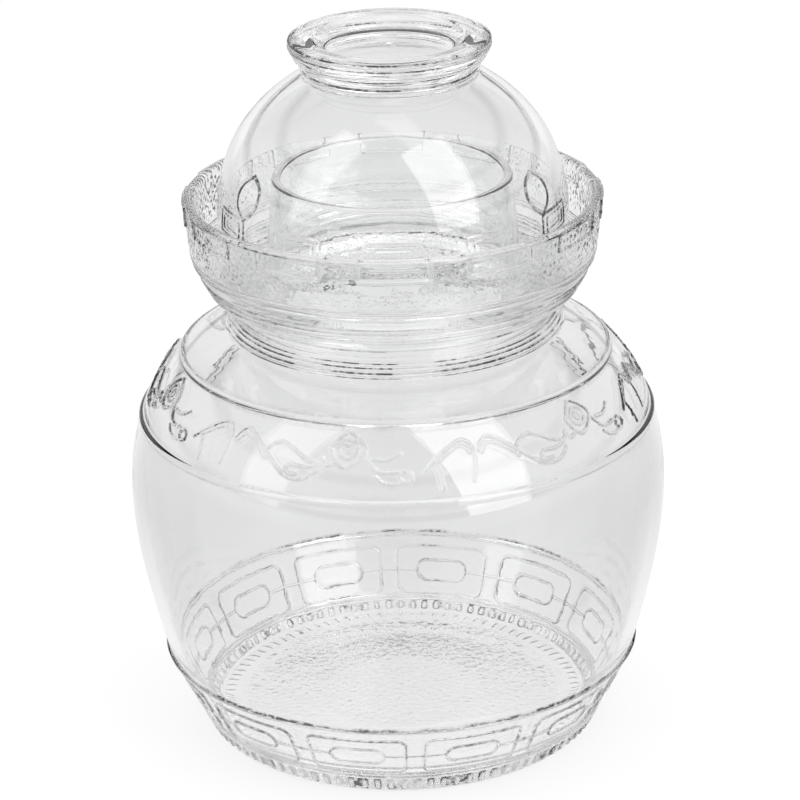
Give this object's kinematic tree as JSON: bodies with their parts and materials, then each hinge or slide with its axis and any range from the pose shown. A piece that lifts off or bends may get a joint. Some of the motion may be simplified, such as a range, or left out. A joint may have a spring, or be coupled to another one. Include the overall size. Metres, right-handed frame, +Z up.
{
  "type": "water seal pickle jar",
  "caption": "Clear glass pickle jar with a water moat round its neck and a domed lid that stands in the moat, so that water seals it while gas can bubble out.",
  "frame": {"origin": "centre of the foot's resting plane, on the jar's axis", "axes": "+Z up along the jar's axis of revolution; -Y is the front, where the middle of one moat frame lies; the fret frames are turned 18 degrees from it"},
  "size_m": [0.1962, 0.1962, 0.2634],
  "materials": {
    "clear_glass": "polished, pressed relief"
  },
  "bodies": {
    "jar": {"jar_body": "clear_glass", "moat_collar": "clear_glass"},
    "lid": {"lid": "clear_glass"}
  },
  "joints": [
    {"name": "lid_lift", "type": "slide", "parent": "jar", "child": "lid", "axis": [0, 0, 1], "range_m": [0, 0.07]}
  ]
}
